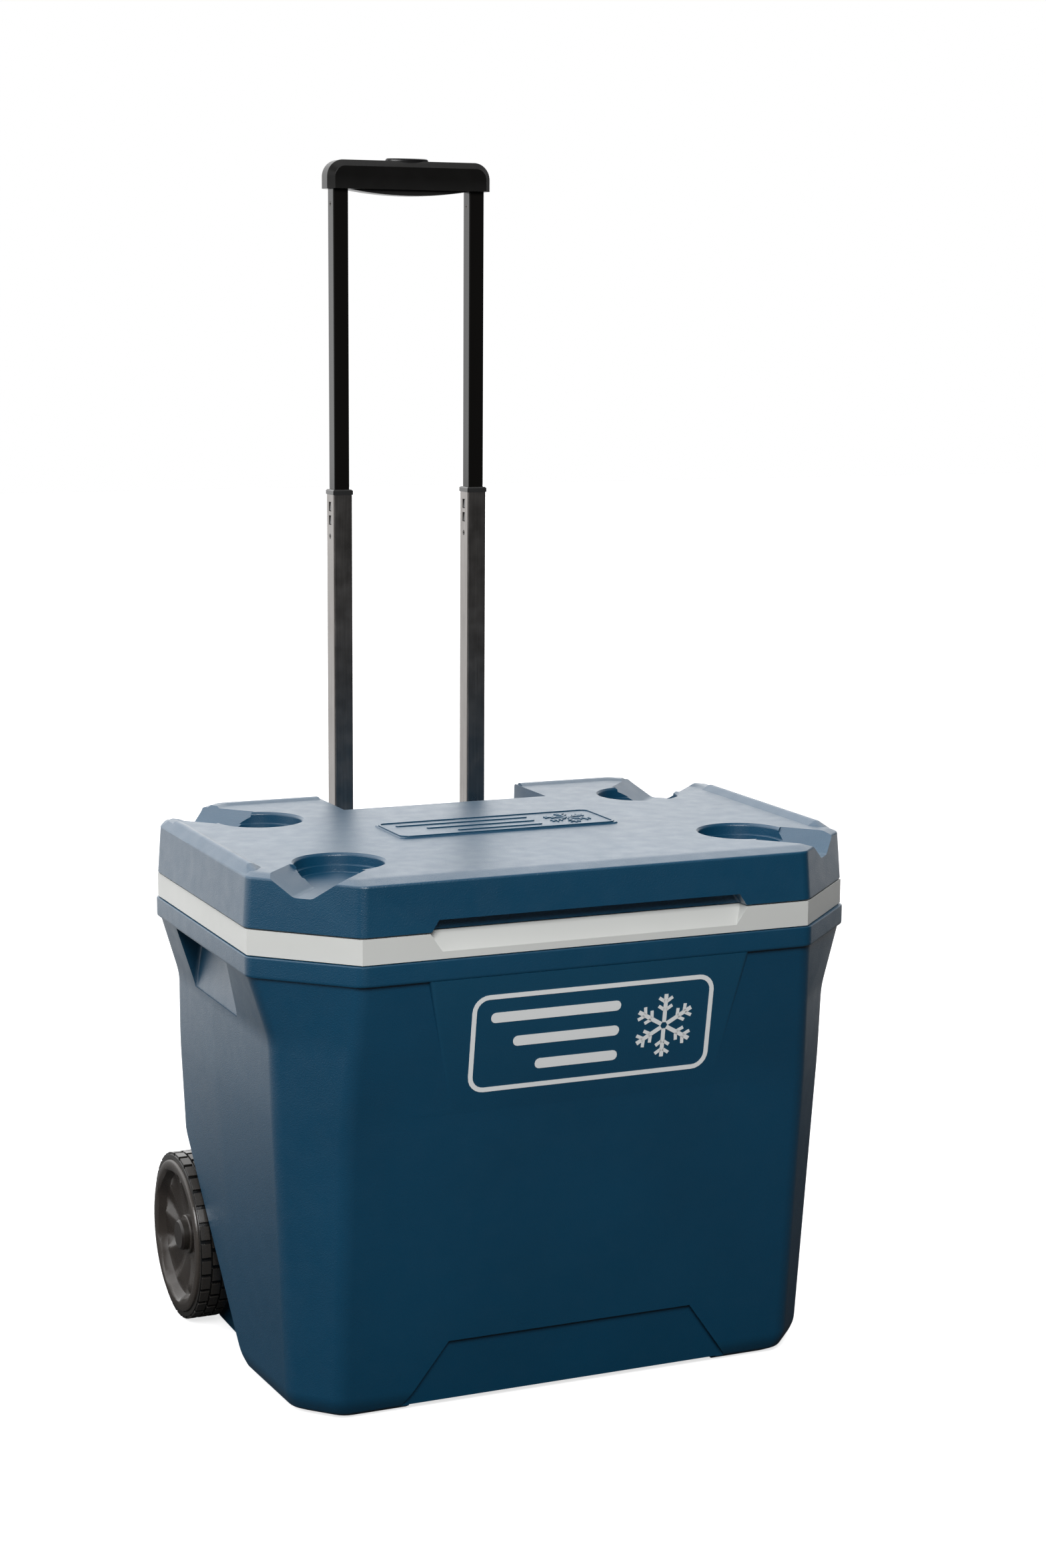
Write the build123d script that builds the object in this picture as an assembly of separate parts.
from build123d import *
import os
from math import atan2, degrees, sqrt

# Wheeled cool box with a two-stage pull handle.  All sizes are in millimetres.
# +Z is up, -Y is the front with the finger lift, +X is the right-hand end.
# Heights are measured from the floor.

# ---------------------------------------------------------------- driving dimensions
RIM_HALF_LENGTH = 286.2
RIM_HALF_DEPTH = 208.4
CHAMFER = 76.4            # length of the corner facets along each side, at the rim
LID_Z = 435.0             # lower edge of the lid
LID_WALL_TOP = 43.0       # height of the lid's upright sides
LID_TOP = 46.0            # top surface of the lid above its lower edge
RIM_TOP_Z = LID_Z - 23.7  # the collar shows between here and the lid
RIM_LOW_Z = LID_Z - 41.5
RIDGE_Z = LID_Z - 98.0    # where the ends start to flare out to the rim
WALL = 3.0                # moulded shell thickness
FIT = 0.3                 # gap between neighbouring moulded pieces

HANDLE_X = 69.5           # centre of each post
POST_FRONT_Y = 221.0
LOWER_TUBE = (19.2, 20.3)
LOWER_TUBE_WALL = 1.2
UPPER_TUBE = (15.2, 16.4)
UPPER_TUBE_WALL = 1.2
POST_Y = POST_FRONT_Y + LOWER_TUBE[1] / 2
LOWER_TUBE_TOP_Z = LID_Z + 335.0
LOWER_TUBE_LOW_Z = LID_Z - 75.0
LOWER_TRAVEL = 320.0
GRIP_LOW_Z = LID_Z + 623.0
GRIP_TOP_Z = LID_Z + 650.0
UPPER_TRAVEL = 282.0
UPPER_TUBE_LOW_Z = LID_Z + 275.0
SLEEVE_TOP_Z = LID_Z - 6.0
SLEEVE_LOW_Z = 30.0
BUTTON_TRAVEL = 4.0

WHEEL_R = 79.0
WHEEL_Y = 146.0
WHEEL_FACE_X = 268.0
WHEEL_INNER_X = 236.0
WELL_WALL_X = 231.0
AXLE_R = 5.0

HINGE_X = 160.0
HINGE_Y = 211.5
HINGE_Z = LID_Z + 6.0
HINGE_PIN_R = 2.0
HINGE_BARREL_R = 4.6

CUP_X = 193.5
CUP_Y = 107.4
CUP_R = 38.6
CUP_FLOOR = 29.0          # above the lid's lower edge

SLEEVE_WALL = 1.5
SLEEVE_GAP = 0.5
BRACKET_WALL = 2.6

# The row's origin lies under the middle of the whole cooler, handle included.
BRACKET_BACK_Y = POST_Y + LOWER_TUBE[1] / 2 + SLEEVE_GAP + SLEEVE_WALL + BRACKET_WALL
BOX_CENTRE_Y = (BRACKET_BACK_Y - RIM_HALF_DEPTH) / 2


# ---------------------------------------------------------------- shared helpers
def save(name, *pieces):
    """Writes one node, as a single solid or as a group of separate solids."""
    solids = []
    for piece in pieces:
        solids.extend(piece.solids())
    moved = [solid.moved(Location((0, -BOX_CENTRE_Y, 0))) for solid in solids]
    shape = moved[0] if len(moved) == 1 else Compound(children=moved)
    export_step(shape, f"parts/{name}.step")


def block(x_range, y_range, z_range):
    """Box between two opposite corners."""
    size = [high - low for low, high in (x_range, y_range, z_range)]
    middle = [(low + high) / 2 for low, high in (x_range, y_range, z_range)]
    return Pos(*middle) * Box(*size)


def rod(x, y, z, radius, length, axis="Z"):
    """Cylinder centred at a point, along X, Y or Z."""
    turn = {"X": Rot(0, 90, 0), "Y": Rot(90, 0, 0), "Z": Rot(0, 0, 0)}[axis]
    return Pos(x, y, z) * turn * Cylinder(radius, length)


def flat_polygon(points):
    """Plane face through points that lie in one plane."""
    return Face(Wire.make_polygon([Vector(*p) for p in points], close=True))


def prism(points, direction):
    """Solid swept from a flat polygon along a vector."""
    return Solid.extrude(flat_polygon(points), Vector(*direction))


def wedge(low_rect, low_z, high_rect, high_z):
    """Ruled solid between two rectangles (x0, x1, y0, y1) at two heights."""
    wires = []
    for (x0, x1, y0, y1), z in ((low_rect, low_z), (high_rect, high_z)):
        corners = [(x0, y0, z), (x1, y0, z), (x1, y1, z), (x0, y1, z)]
        wires.append(Wire.make_polygon([Vector(*c) for c in corners], close=True))
    return Solid.make_loft(wires, ruled=True)


class Section:
    """One level of a tub or lid outline: a rectangle with its corners cut off.

    Behind the crease the ends stand out a little further, by widen.
    """

    def __init__(self, z, half_length, front, back, chamfer_x, chamfer_y, widen=0.0, crease_y=0.0):
        self.z = z
        self.half_length = half_length
        self.front = front
        self.back = back
        self.chamfer_x = chamfer_x
        self.chamfer_y = chamfer_y
        self.widen = widen
        self.crease_y = crease_y

    def inset(self, step, z=None):
        """The same outline moved inwards, at its own or another height."""
        trim = (2 - sqrt(2)) * step
        return Section(
            self.z if z is None else z,
            self.half_length - step,
            self.front - step,
            self.back - step,
            self.chamfer_x - trim,
            self.chamfer_y - trim,
            self.widen,
            self.crease_y,
        )

    def wire(self):
        length, wide = self.half_length, self.half_length + self.widen
        points = [
            (-length + self.chamfer_x, -self.front),
            (length - self.chamfer_x, -self.front),
            (length, -self.front + self.chamfer_y),
            (wide, self.crease_y),
            (wide, self.back - self.chamfer_y),
            (wide - self.chamfer_x, self.back),
            (-wide + self.chamfer_x, self.back),
            (-wide, self.back - self.chamfer_y),
            (-wide, self.crease_y),
            (-length, -self.front + self.chamfer_y),
        ]
        return Wire.make_polygon([Vector(x, y, self.z) for x, y in points], close=True)


def shell_between(sections):
    """Ruled solid through a stack of outlines."""
    solid = None
    for low, high in zip(sections, sections[1:]):
        piece = Solid.make_loft([low.wire(), high.wire()], ruled=True)
        solid = piece if solid is None else solid + piece
    return solid


def both_ends(piece):
    """A piece and its mirror image at the other end."""
    return [piece, piece.mirror(Plane.YZ)]


def rect_tube(width, depth, wall, low_z, high_z, x, y):
    """Rectangular tube standing on end, with rounded edges."""
    height = high_z - low_z
    outer = Box(width, depth, height)
    outer = fillet(outer.edges().filter_by(Axis.Z), 1.6)
    inner = Box(width - 2 * wall, depth - 2 * wall, height + 2)
    return Pos(x, y, (low_z + high_z) / 2) * (outer - inner)


# ---------------------------------------------------------------- tub
TUB_SECTIONS = [
    Section(0.0, 237.0, 150.0, 150.0, 30.0, 32.0, 5.0, -14.0),
    Section(5.0, 245.0, 159.5, 159.5, 32.5, 35.0, 6.0, -13.0),
    Section(16.0, 249.5, 165.0, 165.0, 34.0, 37.0, 6.0, -12.0),
    Section(275.0, 263.7, 188.8, 188.8, 46.8, 53.4, 2.2, 26.0),
    Section(RIDGE_Z, 266.0, 197.6, 197.6, 52.5, 62.0, 0.0, 37.0),
    Section(RIM_LOW_Z, 283.5, 204.2, 204.2, 73.5, 71.0),
]
RIM_OUTLINE = Section(RIM_LOW_Z, RIM_HALF_LENGTH, RIM_HALF_DEPTH, RIM_HALF_DEPTH, CHAMFER, 74.0)
PILLAR_HALF_WIDTH = 92.0
PILLAR_BACK_Y = 216.6
RUNNER_INNER_X = 150.0
UNDERSIDE_RISE = 5.5


def well_cutter(margin):
    """Wheel well at the right end: a slanted face in front of the wheel, and a side wall."""
    slope = Vector(0, 110, 136).normalized()
    normal = Vector(0, -136, 110).normalized()
    centre = Vector(0, WHEEL_Y, WHEEL_R)
    on_face = centre + normal * (WHEEL_R + 4.0 + margin)
    low = on_face - slope * 260
    high = on_face + slope * 150
    inner_x = WELL_WALL_X - margin
    outline = [
        (inner_x, low.Y, low.Z),
        (inner_x, high.Y, high.Z),
        (inner_x, 300, high.Z),
        (inner_x, 300, low.Z),
    ]
    return prism(outline, (120, 0, 0))


def pocket_cutter(margin):
    """Hand-hold under the rim at the right end, deepest at the top."""
    low = (RIM_HALF_LENGTH - 20.7 - margin, 330, -46 - margin, 77 + margin)
    high = (RIM_HALF_LENGTH - 30.2 - margin, 330, -70 - margin, 80 + margin)
    return wedge(low, RIDGE_Z - margin, high, RIM_LOW_Z + min(margin, 0.0))


def tub_outer():
    """Outside shape of the tub, as a full block."""
    body = shell_between(TUB_SECTIONS)
    rim = Solid.make_loft([RIM_OUTLINE.wire(), RIM_OUTLINE.inset(0, RIM_TOP_Z).wire()], ruled=True)
    # The panel in the middle of the front stands level with the rim and fades out downwards.
    panel = wedge((-125, 125, -188.6, -150), 272, (-150, 150, -RIM_HALF_DEPTH, -150), RIM_LOW_Z)
    pillar = block(
        (-PILLAR_HALF_WIDTH, PILLAR_HALF_WIDTH), (140, PILLAR_BACK_Y), (16, RIM_TOP_Z)
    )
    body = body + rim + panel + pillar
    for cutter in both_ends(well_cutter(0)) + both_ends(pocket_cutter(0)):
        body = body - cutter
    recess = wedge((-163, 163, -230, -158.2), -1, (-117, 117, -230, -165.4), 62)
    underside = block((-RUNNER_INNER_X, RUNNER_INNER_X), (-300, 300), (-1, UNDERSIDE_RISE))
    return body - recess - underside


def tub_inner():
    """Hollow of the outer shell, open at the rim."""
    levels = [level.inset(WALL) for level in TUB_SECTIONS[2:]]
    floor = TUB_SECTIONS[2].inset(WALL + 4, UNDERSIDE_RISE + WALL)
    hollow = shell_between([floor] + levels)
    mouth = RIM_OUTLINE.inset(WALL + 2.4)
    rim = Solid.make_loft([mouth.wire(), mouth.inset(0, RIM_TOP_Z + 1).wire()], ruled=True)
    inside = PILLAR_HALF_WIDTH - WALL
    pillar = block((-inside, inside), (140, PILLAR_BACK_Y - WALL), (20, RIM_TOP_Z - WALL))
    hollow = hollow + rim + pillar
    for cutter in both_ends(well_cutter(WALL)) + both_ends(pocket_cutter(WALL)):
        hollow = hollow - cutter
    recess = wedge((-166, 166, -230, -155.2), -1, (-120, 120, -230, -162.4), 65)
    return hollow - recess


COLLAR_TOP_Z = LID_Z - 1.0
COLLAR = Section(RIM_TOP_Z + 0.8, 284.6, 206.0, 206.0, 75.6, 74.8)
CAVITY_SECTIONS = [
    Section(34.0, 208.0, 132.0, 132.0, 26.0, 28.0),
    Section(60.0, 217.0, 140.0, 140.0, 32.0, 34.0),
    Section(222.0, 223.6, 152.0, 152.0, 44.0, 46.0),
    Section(COLLAR_TOP_Z + 1, 246.0, 174.0, 174.0, 56.0, 56.0),
]


def cavity():
    """The space that holds the ice and food."""
    return shell_between(CAVITY_SECTIONS)


def cavity_skin(thickness, top_z):
    """Solid block a given thickness larger than the cavity, up to a given height."""
    first, *middle, last = CAVITY_SECTIONS
    levels = [first.inset(-thickness, first.z - thickness)]
    levels += [level.inset(-thickness) for level in middle]
    return shell_between(levels + [last.inset(-thickness, top_z)])


def band_recess():
    """Sloping finger recess in the collar under the lid's finger lift."""
    front = COLLAR.front + 10
    outline = [
        (-148.6, -front, LID_Z + 1), (-148.6, -front, LID_Z - 1.2), (-138, -front, LID_Z - 16.6),
        (138, -front, LID_Z - 16.6), (148.6, -front, LID_Z - 1.2), (148.6, -front, LID_Z + 1),
    ]
    slab = prism(outline, (0, 30, 0))
    ramp = prism(
        [
            (-160, -front, LID_Z - 16.6 - 10 * 1.1),
            (-160, -COLLAR.front + 15.2, LID_Z + 0.2),
            (-160, -front, LID_Z + 1),
        ],
        (320, 0, 0),
    )
    return slab & ramp


def tub_liner():
    """White one-piece liner: the collar that shows under the lid, and the inside of the tub."""
    collar = Solid.make_loft([COLLAR.wire(), COLLAR.inset(0, COLLAR_TOP_Z).wire()], ruled=True)
    hollow = COLLAR.inset(WALL, COLLAR.z - 1)
    under = Solid.make_loft([hollow.wire(), hollow.inset(0, COLLAR_TOP_Z - WALL).wire()], ruled=True)
    # The front stays solid behind the finger recess.
    under = under - block((-150, 150), (-230, -COLLAR.front + 20), (400, 460))
    return (collar - under) + cavity_skin(WALL, COLLAR_TOP_Z) - cavity() - band_recess()


def tub_foam():
    """Foam that fills the space between shell and liner."""
    fill = tub_inner() & block((-320, 320), (-260, 260), (0, RIM_TOP_Z - 0.5))
    return fill - cavity_skin(WALL + FIT, RIM_TOP_Z + 5)


# ---------------------------------------------------------------- lid
LID_SECTIONS = [
    Section(LID_Z, 286.0, 206.3, 206.3, 76.6, 76.6),
    Section(LID_Z + LID_WALL_TOP, 283.0, 203.4, 204.6, 75.5, 75.5),
    Section(LID_Z + LID_TOP, 276.0, 186.0, 203.6, 66.0, 66.0),
]
SCOOP_HALF_WIDTH = 104.0
RIDGE_HALF_SPAN = 116.0
BACK_RIDGE_TOP = 48.0


def cup_cutter(x, y, margin):
    """Stepped cup holder with a notch that runs out through the corner facet."""
    floor = LID_Z + CUP_FLOOR - margin
    top = LID_Z + 70
    step = LID_Z + 36 - margin
    deep = Pos(x, y, (floor + top) / 2) * Cylinder(CUP_R - 2.4 + margin, top - floor)
    wide = Pos(x, y, (step + top) / 2) * Cylinder(CUP_R + margin, top - step)
    reach = 110.0
    side_x = 1 if x > 0 else -1
    side_y = 1 if y > 0 else -1
    angle = degrees(atan2(60.0 * side_y, 54.8 * side_x))
    half_floor = 8.5 + margin
    half_top = half_floor + (top - floor) * 1.56
    outline = [(0, -half_floor, 0), (0, half_floor, 0), (0, half_top, top - floor), (0, -half_top, top - floor)]
    notch = Pos(x, y, floor) * Rot(0, 0, angle) * Solid.extrude(flat_polygon(outline), Vector(reach, 0, 0))
    # The V stays outside the round cup, so the cup keeps its own edge.
    keep_clear = Pos(x, y, (floor + top) / 2) * Cylinder(CUP_R - 6, top - floor + 4)
    return deep + wide + (notch - keep_clear)


def scoop_cutter(margin):
    """Hollow at the back centre, where fingers reach under the lowered grip."""
    profile = [
        (126 - margin, 46.5), (134, 38 - margin), (148, 26 - margin), (168, 16 - margin),
        (190, 10.5 - margin), (230, 7.5 - margin), (230, 80), (126 - margin, 80),
    ]
    half = SCOOP_HALF_WIDTH + margin
    outline = [(-half, y, LID_Z + z) for y, z in profile]
    return prism(outline, (2 * half, 0, 0))


def lift_cutter(margin):
    """Finger lift in the lower front edge of the lid."""
    low = (-148.6 - margin, 148.6 + margin, -230, -192 + margin)
    high = (-141 - margin, 141 + margin, -230, -192 + margin)
    return wedge(low, LID_Z - 1, high, LID_Z + 10.5 + margin)


def lid_cutters(margin):
    cutters = [cup_cutter(sx * CUP_X, sy * CUP_Y, margin) for sx in (-1, 1) for sy in (-1, 1)]
    return cutters + [scoop_cutter(margin), lift_cutter(margin)]


def end_ridge():
    """Low ridge along the right end of the lid."""
    profile = [(283.2, 42), (274.5, 50.5), (271, 50.5), (262, 45.5), (262, 42)]
    outline = [(x, -RIDGE_HALF_SPAN, LID_Z + z) for x, z in profile]
    return prism(outline, (0, 2 * RIDGE_HALF_SPAN, 0))


def back_ridges():
    """Low ridges along the back edge and round the back corners, either side of the scoop."""
    outer = shell_between(
        [
            Section(LID_Z + 42, 283.2, 203.5, 204.7, 75.5, 75.5),
            Section(LID_Z + BACK_RIDGE_TOP, 276.5, 197, 198, 71.5, 71.5),
        ]
    )
    inner = shell_between(
        [
            Section(LID_Z + 45.2, 262, 250, 186.5, 63, 63),
            Section(LID_Z + BACK_RIDGE_TOP, 268, 250, 192.5, 66.5, 66.5),
            Section(LID_Z + 52, 268, 250, 192.5, 66.5, 66.5),
        ]
    )
    ring = outer - inner
    low_z, high_z = LID_Z + 42, LID_Z + 52
    return [ring & block(span, (40, 210), (low_z, high_z)) for span in ((106, 290), (-290, -106))]


def lid_shell():
    """Blue moulded lid: sides, top, cup holders, scoop and finger lift in one skin."""
    outer = shell_between(LID_SECTIONS)
    for ridge in both_ends(end_ridge()) + back_ridges():
        outer = outer + ridge
    inner = shell_between(
        [
            LID_SECTIONS[0].inset(WALL, LID_Z - 1),
            LID_SECTIONS[1].inset(WALL, LID_Z + LID_WALL_TOP - 4),
            LID_SECTIONS[2].inset(WALL, LID_Z + LID_TOP - WALL),
        ]
    )
    for cutter in lid_cutters(WALL):
        inner = inner - cutter
    for cutter in lid_cutters(0):
        outer = outer - cutter
    badge = block((-108, 108), (-32, 40), (LID_Z + LID_TOP - 0.5, LID_Z + LID_TOP + 1.2))
    return outer - inner + badge


LINER_TOP = 3.6


def lid_liner():
    """White inner panel that closes the lid, with a lip that drops into the tub."""
    outline = LID_SECTIONS[0].inset(WALL + FIT, LID_Z + 0.4)
    plate = Solid.make_loft([outline.wire(), outline.inset(0.6, LID_Z + LINER_TOP).wire()], ruled=True)
    plate = plate - lift_cutter(WALL + FIT)
    mouth = CAVITY_SECTIONS[-1].inset(5, LID_Z + 1)
    lip = Solid.make_loft([mouth.inset(1.5, LID_Z - 12).wire(), mouth.wire()], ruled=True)
    hollow = Solid.make_loft([mouth.inset(WALL + 1.5, LID_Z - 13).wire(), mouth.inset(WALL, LID_Z + 0.4).wire()], ruled=True)
    return plate + (lip - hollow)


def lid_foam():
    """Foam sealed between the lid's skin and its inner panel."""
    fill = shell_between(
        [
            LID_SECTIONS[0].inset(WALL + FIT, LID_Z + LINER_TOP + FIT),
            LID_SECTIONS[1].inset(WALL + FIT + 0.4, LID_Z + LID_WALL_TOP - 5),
            LID_SECTIONS[2].inset(WALL + FIT, LID_Z + LID_TOP - WALL - FIT),
        ]
    )
    for cutter in lid_cutters(WALL + FIT):
        fill = fill - cutter
    return fill


# ---------------------------------------------------------------- hinges
KNUCKLE = 16.0
HINGE_PLATE = 2.2
HINGE_HALF_WIDTH = 28.0
COLLAR_BACK_Y = COLLAR.back
LID_BACK_Y = LID_SECTIONS[0].back


def hinge_base(x):
    """Half screwed to the back of the collar, with the two outer knuckles."""
    plate = block(
        (x - HINGE_HALF_WIDTH, x + HINGE_HALF_WIDTH),
        (COLLAR_BACK_Y + 0.02, COLLAR_BACK_Y + HINGE_PLATE),
        (RIM_TOP_Z + 1.2, LID_Z - 1.5),
    )
    piece = plate
    for side in (-1, 1):
        centre = x + side * (KNUCKLE / 2 + 0.3 + KNUCKLE / 4 + 2)
        width = KNUCKLE / 2 + 4
        barrel = rod(centre, HINGE_Y, HINGE_Z, HINGE_BARREL_R, width, "X")
        web = block(
            (centre - width / 2, centre + width / 2),
            (COLLAR_BACK_Y + 0.02, HINGE_Y + 2.5),
            (LID_Z - 6, HINGE_Z - 3),
        )
        relief = block(
            (centre - width, centre + width), (COLLAR_BACK_Y - 9, LID_BACK_Y + 1.0), (LID_Z - 1.4, HINGE_Z + 20)
        )
        piece = piece + (barrel + web - relief)
    hole = rod(x, HINGE_Y, HINGE_Z, HINGE_PIN_R, 80, "X")
    return piece - hole - hinge_screw_set(x, LID_Z - 13, 1.6, 6, 19)


def hinge_leaf(x):
    """Half screwed to the back of the lid, with the middle knuckle."""
    plate = block(
        (x - HINGE_HALF_WIDTH, x + HINGE_HALF_WIDTH),
        (LID_BACK_Y + 0.02, LID_BACK_Y + HINGE_PLATE),
        (HINGE_Z + 6.5, LID_Z + 34),
    )
    tab = block((x - KNUCKLE / 2, x + KNUCKLE / 2), (LID_BACK_Y + 0.02, HINGE_Y + 3), (HINGE_Z + 3.0, HINGE_Z + 9))
    barrel = rod(x, HINGE_Y, HINGE_Z, HINGE_BARREL_R, KNUCKLE, "X")
    piece = plate + tab + barrel
    hole = rod(x, HINGE_Y, HINGE_Z, HINGE_PIN_R + 0.06, 80, "X")
    return piece - hole - hinge_screw_set(x, LID_Z + 24, 1.6, 6, 19)


def hinge_screw_set(x, z, radius, length, spread):
    """Pair of screw shanks through a hinge plate."""
    pair = None
    for side in (-1, 1):
        shank = rod(x + side * spread, COLLAR_BACK_Y + 1.2, z, radius, length, "Y")
        pair = shank if pair is None else pair + shank
    return pair


def back_screw(x, plate_y, z):
    """Pan-head screw driven forwards into the back of the cooler."""
    shank = rod(x, plate_y - 0.8, z, 1.5, 2.6, "Y")
    head = rod(x, plate_y + 0.9, z, 3.2, 1.8, "Y")
    slot = block((x - 2.4, x + 2.4), (plate_y + 1.2, plate_y + 3), (z - 0.4, z + 0.4))
    return shank + head - slot


# ---------------------------------------------------------------- pull handle
SCREW_HEAD_R = 2.6
LOWER_SCREW_Z = LOWER_TUBE_TOP_Z - 40
UPPER_SCREW_Z = GRIP_LOW_Z - 14
LOCK_PIN_R = 2.4


def guide_sleeve(x):
    """Fixed tube behind the tub that the lower tube slides in."""
    width = LOWER_TUBE[0] + 2 * (SLEEVE_GAP + SLEEVE_WALL)
    depth = LOWER_TUBE[1] + 2 * (SLEEVE_GAP + SLEEVE_WALL)
    tube = rect_tube(width, depth, SLEEVE_WALL, SLEEVE_LOW_Z, SLEEVE_TOP_Z, x, POST_Y)
    floor = Pos(x, POST_Y, SLEEVE_LOW_Z + 1) * Box(width - 1, depth - 1, 2)
    return tube + floor


def sleeve_outline(margin):
    half_x = LOWER_TUBE[0] / 2 + SLEEVE_GAP + SLEEVE_WALL + margin
    half_y = LOWER_TUBE[1] / 2 + SLEEVE_GAP + SLEEVE_WALL + margin
    return half_x, half_y


def guide_bracket(low_z, high_z):
    """Moulded clamp that holds both sleeves against the back of the tub."""
    half_x, half_y = sleeve_outline(0.02)
    body = block((-88, 88), (PILLAR_BACK_Y + 0.02, BRACKET_BACK_Y), (low_z, high_z))
    body = fillet(body.edges().filter_by(Axis.Z).group_by(Axis.Y)[-1], 5)
    middle = HANDLE_X - half_x - 4
    body = body - block((-middle, middle), (PILLAR_BACK_Y + 4, 300), (low_z - 1, high_z + 1))
    for x in (-HANDLE_X, HANDLE_X):
        body = body - block((x - half_x, x + half_x), (POST_Y - half_y, POST_Y + half_y), (low_z - 1, high_z + 1))
    for x in (-32, 32):
        body = body - rod(x, PILLAR_BACK_Y, (low_z + high_z) / 2, 1.6, 20, "Y")
    return body


def lower_tube(x):
    """Second stage of a post, with two square windows for the snap tabs."""
    tube = rect_tube(*LOWER_TUBE, LOWER_TUBE_WALL, LOWER_TUBE_LOW_Z, LOWER_TUBE_TOP_Z, x, POST_Y)
    for z in (LOWER_TUBE_TOP_Z - 11.5, LOWER_TUBE_TOP_Z - 24.5):
        tube = tube - block((x - 15, x - LOWER_TUBE[0] / 2 + 2), (POST_Y - 3.2, POST_Y + 3.2), (z - 4.5, z + 4.5))
    return tube - rod(x - LOWER_TUBE[0] / 2, POST_Y, LOWER_SCREW_Z, SCREW_HEAD_R + 0.02, 3, "X")


def tube_collar(x):
    """Plastic cap on the lower tube, with a thin bush inside it that guides the upper tube."""
    width, depth = LOWER_TUBE
    cap = Box(width + 1.0, depth + 1.0, 5.0)
    cap = chamfer(cap.edges().group_by(Axis.Z)[-1], 1.2)
    cap = Pos(x, POST_Y, LOWER_TUBE_TOP_Z + 2.52) * cap
    inner_w = width - 2 * LOWER_TUBE_WALL - 0.1
    inner_d = depth - 2 * LOWER_TUBE_WALL - 0.1
    bush = Pos(x, POST_Y, LOWER_TUBE_TOP_Z - 22) * Box(inner_w, inner_d, 46)
    bore = Pos(x, POST_Y, LOWER_TUBE_TOP_Z - 20) * Box(UPPER_TUBE[0] + 0.7, UPPER_TUBE[1] + 0.7, 80)
    tabs = None
    for z in (LOWER_TUBE_TOP_Z - 11.5, LOWER_TUBE_TOP_Z - 24.5):
        tab = wedge(
            (x - width / 2 + 0.5, x - inner_w / 2 + 0.3, POST_Y - 2.6, POST_Y + 2.6), z - 3.8,
            (x - width / 2 + 1.0, x - inner_w / 2 + 0.3, POST_Y - 2.6, POST_Y + 2.6), z + 3.8,
        )
        tabs = tab if tabs is None else tabs + tab
    return cap + bush + tabs - bore


def side_screw(x_face, y, z):
    """Cross-slotted screw head, sunk level with the left face of a post."""
    head = rod(x_face + 0.6, y, z, SCREW_HEAD_R, 1.1, "X")
    slot = block((x_face - 1, x_face + 0.6), (y - 2, y + 2), (z - 0.35, z + 0.35))
    cross = block((x_face - 1, x_face + 0.6), (y - 0.35, y + 0.35), (z - 2, z + 2))
    return head - slot - cross


def upper_tube(x):
    """Top stage of a post; the grip is fixed to its upper end."""
    top = GRIP_TOP_Z - 12
    tube = rect_tube(*UPPER_TUBE, UPPER_TUBE_WALL, UPPER_TUBE_LOW_Z, top, x, POST_Y)
    outward = 1 if x > 0 else -1
    tube = tube - rod(x + outward * UPPER_TUBE[0] / 2, POST_Y, UPPER_TUBE_LOW_Z + 14, LOCK_PIN_R + 0.2, 4, "X")
    return tube - rod(x - UPPER_TUBE[0] / 2, POST_Y, UPPER_SCREW_Z, SCREW_HEAD_R + 0.02, 3, "X")


GRIP_HALF_LENGTH = 83.0
GRIP_DEPTH = 27.0
GRIP_CORNER = 16.0
YOKE_Z = GRIP_LOW_Z + 13.0


def grip_shell():
    """Upper shell of the grip, hollow underneath, with sockets for the tubes and the button."""
    height = GRIP_TOP_Z - GRIP_LOW_Z
    body = Box(2 * GRIP_HALF_LENGTH, GRIP_DEPTH, height)
    body = fillet(body.edges().filter_by(Axis.Y).group_by(Axis.Z)[-1], GRIP_CORNER)
    body = Pos(0, POST_Y, GRIP_LOW_Z + height / 2) * body
    body = chamfer(body.edges().filter_by(Axis.X).group_by(Axis.Z)[-1], 6.0)
    inner = Box(2 * GRIP_HALF_LENGTH - 8, GRIP_DEPTH - 7, height - 3)
    inner = fillet(inner.edges().filter_by(Axis.Y).group_by(Axis.Z)[-1], GRIP_CORNER - 4)
    inner = Pos(0, POST_Y, GRIP_LOW_Z + (height - 3) / 2 - 0.01) * inner
    inner = chamfer(inner.edges().filter_by(Axis.X).group_by(Axis.Z)[-1], 4.0)
    shell = body - inner
    slot = Pos(0, POST_Y - 1, GRIP_TOP_Z) * extrude(Ellipse(22.3, 8.3), 20, both=True)
    return shell - slot


def grip_cover():
    """Sagging cover that closes the grip's underside between the two tubes."""
    half = HANDLE_X - UPPER_TUBE[0] / 2 - 0.6
    sag = 5.5
    arc = ThreePointArc((-half, GRIP_LOW_Z - 0.2), (0, GRIP_LOW_Z - sag), (half, GRIP_LOW_Z - 0.2))
    top = Polyline((half, GRIP_LOW_Z - 0.2), (half, GRIP_LOW_Z + 3), (-half, GRIP_LOW_Z + 3), (-half, GRIP_LOW_Z - 0.2))
    face = make_face(Curve() + [arc, top])
    face = Plane.XZ.offset(-(POST_Y - (GRIP_DEPTH - 7.4) / 2)) * face
    plate = extrude(face, -(GRIP_DEPTH - 7.4))
    return plate


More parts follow.
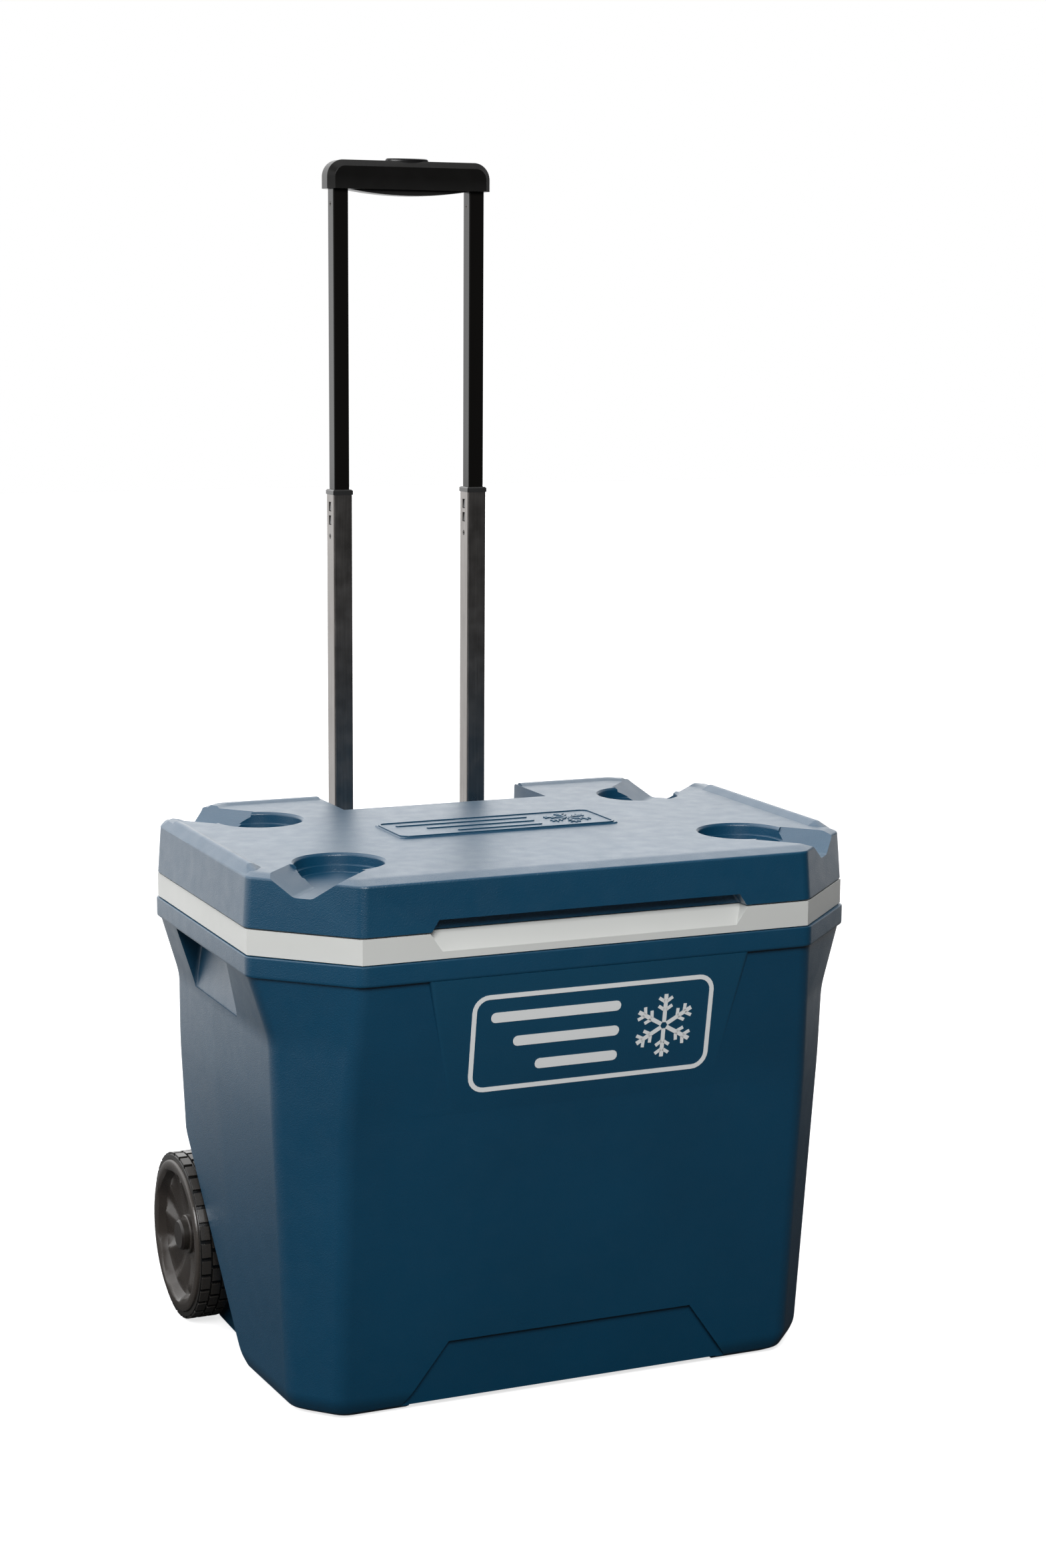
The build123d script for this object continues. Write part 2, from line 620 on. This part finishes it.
def release_button():
    """Lens-shaped button with a yoke that reaches down beside the tubes."""
    flange_top = GRIP_TOP_Z - 3.2
    lens = extrude(Ellipse(21.8, 7.8), 5.8)
    lens = fillet(lens.edges().group_by(Axis.Z)[-1], 2.5)
    lens = Pos(0, POST_Y - 1, flange_top) * lens
    flange = block((-25, 25), (POST_Y - 5.8, POST_Y + 5.8), (flange_top - 2, flange_top))
    stem = block((-3, 3), (POST_Y - 3, POST_Y + 3), (YOKE_Z, flange_top - 1))
    return lens + flange + stem


def release_yoke():
    """Cross bar under the button, with a long rod down the inside of each tube."""
    bar = Pos(0, POST_Y, YOKE_Z - 1.52) * Box(2 * HANDLE_X - 2 * UPPER_TUBE[0], 5, 3)
    piece = bar
    for x in (-HANDLE_X, HANDLE_X):
        reach = block(
            (min(x, x * 0.75), max(x, x * 0.75)), (POST_Y - 2.5, POST_Y + 2.5), (YOKE_Z - 3.02, YOKE_Z - 0.02)
        )
        piece = piece + reach + rod(x, POST_Y, (UPPER_TUBE_LOW_Z + 40 + YOKE_Z) / 2, 2.0, YOKE_Z - UPPER_TUBE_LOW_Z - 40 - 3, "Z")
    return piece


def yoke_window(x):
    """Opening in a tube's inner side that the yoke moves through."""
    inward = -1 if x > 0 else 1
    near, far = sorted((x, x + inward * UPPER_TUBE[0]))
    return block((near, far), (POST_Y - 3, POST_Y + 3), (YOKE_Z - 3.5 - BUTTON_TRAVEL - 0.8, YOKE_Z + 0.8))


def button_spring():
    """Coil under the button's stem, drawn as a short sleeve."""
    middle = GRIP_LOW_Z + 6.5
    return rod(0, POST_Y, middle, 3.0, 6.9) - rod(0, POST_Y, middle, 2.0, 9.0)


def lock_block(x):
    """Plug in the lower end of the upper tube that carries the locking pin."""
    inner_w = UPPER_TUBE[0] - 2 * UPPER_TUBE_WALL - 0.1
    inner_d = UPPER_TUBE[1] - 2 * UPPER_TUBE_WALL - 0.1
    body = Pos(x, POST_Y, UPPER_TUBE_LOW_Z + 14) * Box(inner_w, inner_d, 28)
    outward = 1 if x > 0 else -1
    return body - rod(x + outward * 4, POST_Y, UPPER_TUBE_LOW_Z + 14, LOCK_PIN_R + 0.02, 12, "X")


def lock_pin(x):
    """Drawn-back locking pin, level with the outside of the upper tube."""
    outward = 1 if x > 0 else -1
    return rod(x + outward * (UPPER_TUBE[0] / 2 - 4.0), POST_Y, UPPER_TUBE_LOW_Z + 14, LOCK_PIN_R, 7.6, "X")


# ---------------------------------------------------------------- wheels
TYRE_DEPTH = 7.0
HUB_R = WHEEL_R - TYRE_DEPTH
TREAD_ROWS = 3
TREAD_BLOCKS = 30
FACET_COUNT = 9


def wheel_hub():
    """Dished disc with a rolled lip, swirling facets, and a bored boss for the axle."""
    width = WHEEL_FACE_X - WHEEL_INNER_X
    profile = [
        (AXLE_R + 0.06, -width / 2 + 0.5), (16, -width / 2 + 0.5), (16, -2), (HUB_R - 6, 1),
        (HUB_R - 4, -width / 2 + 1), (HUB_R, -width / 2 + 1), (HUB_R, width / 2 - 2),
        (HUB_R - 1, width / 2 + 1.5), (HUB_R - 4, width / 2 + 1.5), (HUB_R - 7, width / 2 - 4),
        (46, 5.5), (18, 4), (18, 7), (AXLE_R + 0.06, 7),
    ]
    face = make_face(Polyline(*[(r, h) for r, h in profile], close=True))
    hub = revolve(Plane.XZ * face, Axis.Z)
    for index in range(FACET_COUNT):
        rib = prism([(19, -1.2, 3), (64, -1.2, 3), (64, -1.2, 10.5), (19, -1.2, 5)], (0, 2.4, 0))
        hub = hub + Rot(0, 0, index * 360 / FACET_COUNT) * Rot(0, 0, 14) * rib
    return hub


def tyre():
    """Tread ring with staggered blocks."""
    width = WHEEL_FACE_X - WHEEL_INNER_X
    base = Cylinder(WHEEL_R - 2.6, width - 2) - Cylinder(HUB_R + 0.02, width + 4)
    row_width = (width - 2) / TREAD_ROWS
    pieces = [base]
    for row in range(TREAD_ROWS):
        z = (row - (TREAD_ROWS - 1) / 2) * row_width
        for index in range(TREAD_BLOCKS):
            angle = (index + 0.5 * (row % 2)) * 360 / TREAD_BLOCKS
            lug = Pos(WHEEL_R - 3.2, 0, z) * Box(5.6, 12.6, row_width - 1.6)
            pieces.append(Rot(0, 0, angle) * lug)
    ring = pieces[0].fuse(*pieces[1:])
    return ring & Cylinder(WHEEL_R, width)


def on_axle(piece, side):
    """Turns a piece made about +Z so that its outer face looks outwards at one end."""
    middle = side * (WHEEL_FACE_X + WHEEL_INNER_X) / 2
    return Pos(middle, WHEEL_Y, WHEEL_R) * Rot(0, 90 * side, 0) * piece


def axle_pin(side):
    """Stub axle pressed through the wall plate, with a head inside the shell."""
    outer = WHEEL_FACE_X - 3
    shank = rod(side * (WELL_WALL_X - 12 + outer) / 2, WHEEL_Y, WHEEL_R, AXLE_R, outer - WELL_WALL_X + 12, "X")
    return shank


def axle_plate(side):
    """Square plate on the wall of the wheel well that takes the stub axle."""
    plate = block((WELL_WALL_X + 0.02, WELL_WALL_X + 3), (WHEEL_Y - 26, WHEEL_Y + 26), (WHEEL_R - 26, WHEEL_R + 26))
    plate = fillet(plate.edges().filter_by(Axis.X), 6)
    plate = plate - rod(WELL_WALL_X, WHEEL_Y, WHEEL_R, AXLE_R, 40, "X")
    if side < 0:
        plate = plate.mirror(Plane.YZ)
    return plate


def axle_hole(side):
    """Clearance in the shell and foam for the stub axle."""
    return rod(side * WELL_WALL_X, WHEEL_Y, WHEEL_R, AXLE_R + 0.02, 30, "X")


def wheel_cap():
    """Push-on cap over the end of the axle."""
    cap = Pos(0, 0, 10.52) * Cylinder(14.5, 7.0)
    cap = chamfer(cap.edges().group_by(Axis.Z)[-1], 2.0)
    return cap - Pos(0, 0, 8) * Cylinder(AXLE_R + 1.0, 11)


def build():
    os.makedirs("parts", exist_ok=True)

    shell = tub_outer() - tub_inner()
    foam = tub_foam()
    for side in (-1, 1):
        shell = shell - axle_hole(side)
        foam = foam - axle_hole(side)
    save("tub_shell", shell)
    save("tub_liner", tub_liner())
    save("tub_foam", foam)

    save("lid_shell", lid_shell())
    save("lid_liner", lid_liner())
    save("lid_foam", lid_foam())

    for name, x in (("left", -HINGE_X), ("right", HINGE_X)):
        save(f"hinge_base_{name}", hinge_base(x))
        save(f"hinge_leaf_{name}", hinge_leaf(x))
        save(f"hinge_pin_{name}", rod(x, HINGE_Y, HINGE_Z, HINGE_PIN_R, 46, "X"))
    base_face = COLLAR_BACK_Y + HINGE_PLATE
    leaf_face = LID_BACK_Y + HINGE_PLATE
    screw_x = [side * HINGE_X + step for side in (-1, 1) for step in (-19, 19)]
    save("hinge_base_screws", *[back_screw(x, base_face, LID_Z - 13) for x in screw_x])
    save("hinge_leaf_screws", *[back_screw(x, leaf_face, LID_Z + 24) for x in screw_x])

    bracket_levels = {"upper": (RIM_LOW_Z - 12, RIM_TOP_Z - 4), "lower": (52, 84)}
    bracket_screws = []
    for name, (low_z, high_z) in bracket_levels.items():
        save(f"guide_bracket_{name}", guide_bracket(low_z, high_z))
        bracket_screws += [back_screw(x, PILLAR_BACK_Y + 4, (low_z + high_z) / 2) for x in (-32, 32)]
    save("bracket_screws", *bracket_screws)

    for name, x in (("left", -HANDLE_X), ("right", HANDLE_X)):
        save(f"guide_sleeve_{name}", guide_sleeve(x))
        save(f"lower_tube_{name}", lower_tube(x))
        save(f"tube_collar_{name}", tube_collar(x))
        save(f"upper_tube_{name}", upper_tube(x) - yoke_window(x))
        save(f"lock_block_{name}", lock_block(x))
    save("lock_pins", lock_pin(-HANDLE_X), lock_pin(HANDLE_X))
    lower_face = LOWER_TUBE[0] / 2
    upper_face = UPPER_TUBE[0] / 2
    save("tube_screws", *[side_screw(x - lower_face, POST_Y, LOWER_SCREW_Z) for x in (-HANDLE_X, HANDLE_X)])
    save("grip_screws", *[side_screw(x - upper_face, POST_Y, UPPER_SCREW_Z) for x in (-HANDLE_X, HANDLE_X)])
    save("grip_shell", grip_shell())
    save("grip_cover", grip_cover())
    save("release_button", release_button())
    save("release_yoke", release_yoke())
    save("button_spring", button_spring())

    for name, side in (("left", -1), ("right", 1)):
        save(f"wheel_hub_{name}", on_axle(wheel_hub(), side))
        save(f"tyre_{name}", on_axle(tyre(), side))
        save(f"wheel_cap_{name}", on_axle(wheel_cap(), side))
        save(f"axle_pin_{name}", axle_pin(side))
        save(f"axle_plate_{name}", axle_plate(side))


build()
